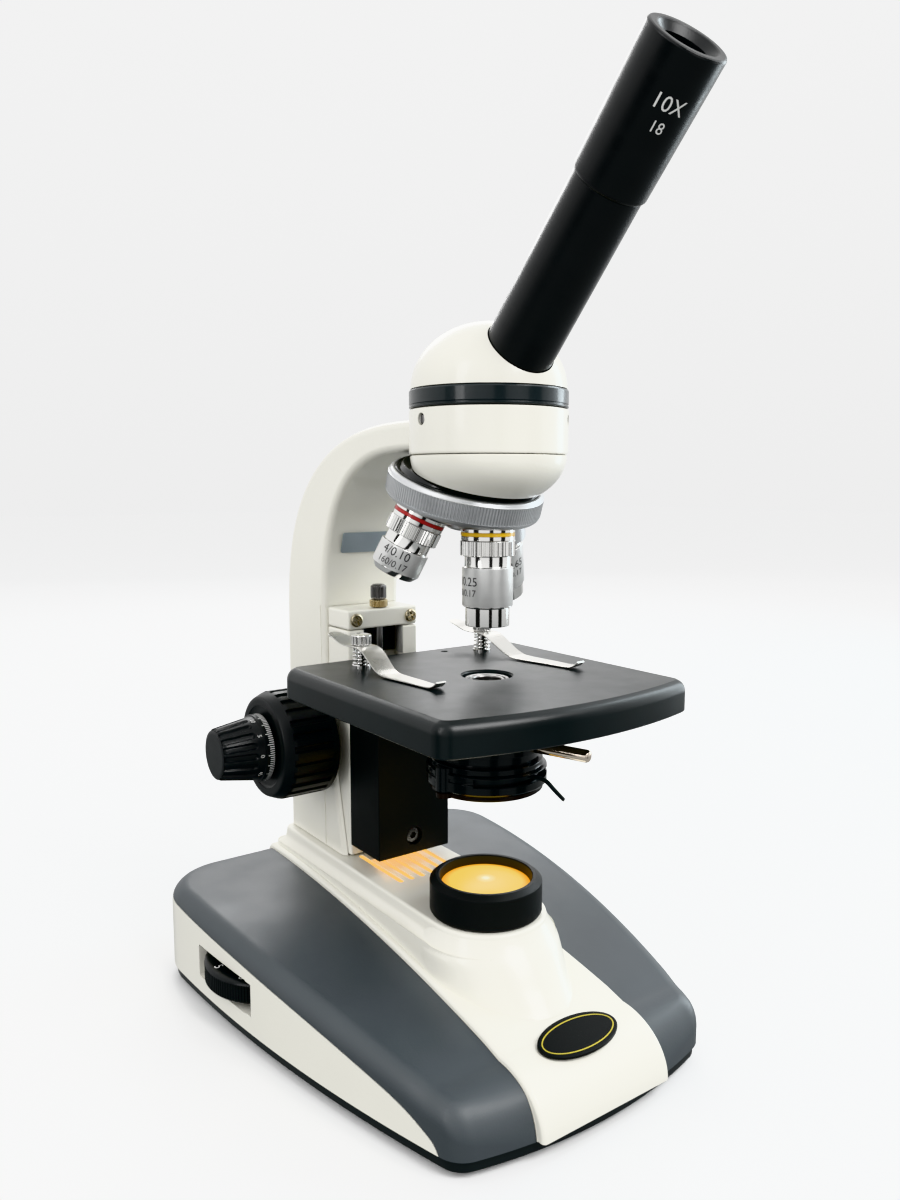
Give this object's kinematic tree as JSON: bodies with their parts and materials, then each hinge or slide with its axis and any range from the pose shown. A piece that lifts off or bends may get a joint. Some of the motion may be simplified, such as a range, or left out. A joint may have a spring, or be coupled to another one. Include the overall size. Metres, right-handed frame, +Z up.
{
  "type": "compound microscope",
  "caption": "Upright laboratory microscope on a wide sloping base with a lamp, a C-shaped arm, a focusing stage, a tilted turret of objectives and one inclined eye tube.",
  "frame": {"origin": "centre of the bounding box's footprint, on the table under the feet; the optical axis stands at x = 0.95 mm, y = -18.57 mm", "axes": "+X to the right of someone at the eyepiece, -Y towards that person (the eye tube leans over the front), +Z up"},
  "size_m": [0.1808, 0.2538, 0.363],
  "materials": {
    "cream_enamel": "smooth gloss cream-white enamel over die-cast aluminium",
    "slate_enamel": "semi-gloss slate grey enamel",
    "black_metal": "satin black enamel",
    "black_plastic": "satin black moulding",
    "rubber": "matte",
    "satin_steel": "fine satin",
    "chrome": "bright plate",
    "brass": "turned",
    "silver_label": "satin foil, plain",
    "glass": "clear and polished",
    "warm_lens": "frosted, lit warm yellow from below",
    "circuit_board": "green board"
  },
  "bodies": {
    "stand": {"base_casting": "cream_enamel", "left_side_panel": "slate_enamel", "right_side_panel": "slate_enamel", "base_plate": "black_metal", "foot_front_left": "rubber", "foot_front_right": "rubber", "foot_back_left": "rubber", "foot_back_right": "rubber", "badge": "black_plastic", "lamp_collar": "black_metal", "field_lens": "warm_lens", "led_lamp": "satin_steel", "power_board": "circuit_board", "power_inlet": "black_plastic", "arm": "cream_enamel", "arm_label": "silver_label", "head_screw_left": "satin_steel", "head_screw_right": "satin_steel", "focus_guide": "cream_enamel", "guide_bracket": "cream_enamel", "bracket_screw_left": "brass", "bracket_screw_right": "brass", "nosepiece_mount": "cream_enamel", "nosepiece_plate": "black_metal"},
    "head": {"head_band": "black_metal", "head_dome": "cream_enamel", "prism": "glass", "eyepiece_tube": "black_metal"},
    "ocular": {"eyepiece": "black_plastic", "eye_lens": "glass"},
    "turret": {"nosepiece": "satin_steel", "objective_4x": "chrome", "objective_10x": "chrome", "objective_40x": "chrome"},
    "coarse_drive": {"pinion_shaft": "satin_steel", "coarse_knob_left": "black_plastic", "coarse_knob_right": "black_plastic"},
    "fine_drive": {"fine_shaft": "satin_steel", "fine_knob_left": "black_plastic", "fine_knob_right": "black_plastic"},
    "stage": {"stage_carrier": "black_metal", "focus_rack": "satin_steel", "carrier_screw": "satin_steel", "stage_plate": "black_metal", "clip_post_left": "chrome", "clip_post_right": "chrome", "clip_spring_left": "chrome", "clip_spring_right": "chrome", "condenser_holder": "black_metal"},
    "left_clip": {"clip_left": "chrome"},
    "right_clip": {"clip_right": "chrome"},
    "lever": {"condenser_lever": "chrome"},
    "condenser": {"condenser_barrel": "black_metal", "condenser_lens": "glass"},
    "iris": {"iris_ring": "black_metal"},
    "filter": {"filter_holder": "satin_steel"},
    "dimmer": {"dimmer_wheel": "black_plastic"},
    "rocker": {"switch_rocker": "black_plastic"},
    "stop_screw": {"stop_screw": "satin_steel"},
    "stop_nut": {"stop_nut": "brass"}
  },
  "joints": [
    {"name": "head_turn", "type": "hinge", "parent": "stand", "child": "head", "pos_m": [0.00095, -0.01857, 0.2567], "axis": [0, 0, 1], "continuous": true},
    {"name": "eyepiece_lift", "type": "slide", "parent": "head", "child": "ocular", "axis": [-0.0541, -0.7197, 0.6921], "range_m": [0, 0.03]},
    {"name": "nosepiece_turn", "type": "hinge", "parent": "stand", "child": "turret", "pos_m": [0.00095, -0.00077, 0.2178], "axis": [0, -0.3206, 0.9472], "continuous": true},
    {"name": "coarse_focus", "type": "hinge", "parent": "stand", "child": "coarse_drive", "pos_m": [0.00095, 0.08143, 0.1093], "axis": [-1, 0, 0], "range_deg": [-46.5, 113]},
    {"name": "stage_lift", "type": "slide", "parent": "stand", "child": "stage", "axis": [0, 0, 1], "range_m": [-0.005, 0.0125]},
    {"name": "fine_focus", "type": "hinge", "parent": "stand", "child": "fine_drive", "pos_m": [0.00095, 0.08143, 0.1093], "axis": [-1, 0, 0], "continuous": true},
    {"name": "clip_left_turn", "type": "hinge", "parent": "stage", "child": "left_clip", "pos_m": [-0.03055, 0.02573, 0.1534], "axis": [0, 0, 1], "range_deg": [-30, 45]},
    {"name": "clip_right_turn", "type": "hinge", "parent": "stage", "child": "right_clip", "pos_m": [0.03285, 0.02623, 0.1534], "axis": [0, 0, 1], "range_deg": [-45, 30]},
    {"name": "condenser_lever_turn", "type": "hinge", "parent": "stage", "child": "lever", "pos_m": [0.00095, -0.01857, 0.128], "axis": [0, 0, 1], "range_deg": [-54, 10]},
    {"name": "condenser_lift", "type": "slide", "parent": "stage", "child": "condenser", "axis": [0, 0, 1], "range_m": [-0.004, 0.0005]},
    {"name": "iris_turn", "type": "hinge", "parent": "condenser", "child": "iris", "pos_m": [0.00095, -0.01857, 0.116], "axis": [0, 0, 1], "range_deg": [-60, 25]},
    {"name": "filter_swing", "type": "hinge", "parent": "condenser", "child": "filter", "pos_m": [-0.02155, -0.02107, 0.11], "axis": [0, 0, 1], "range_deg": [0, 100]},
    {"name": "dimmer_turn", "type": "hinge", "parent": "stand", "child": "dimmer", "pos_m": [-0.06275, 0.05223, 0.0175], "axis": [0, 0, 1], "range_deg": [-135, 135]},
    {"name": "power_switch", "type": "hinge", "parent": "stand", "child": "rocker", "pos_m": [-0.01505, 0.12243, 0.023], "axis": [1, 0, 0], "range_deg": [0, 20]},
    {"name": "stop_screw_turn", "type": "hinge", "parent": "stand", "child": "stop_screw", "pos_m": [0.00095, 0.06343, 0.1715], "axis": [0, 0, 1], "continuous": true},
    {"name": "stop_nut_turn", "type": "hinge", "parent": "stand", "child": "stop_nut", "pos_m": [0.00095, 0.06343, 0.1715], "axis": [0, 0, 1], "continuous": true}
  ],
  "couplings": [
    {"joint": "coarse_focus", "follows": "stage_lift", "rad_per_m": 153.85},
    {"joint": "condenser_lever_turn", "follows": "condenser_lift", "rad_per_m": 222.22}
  ]
}
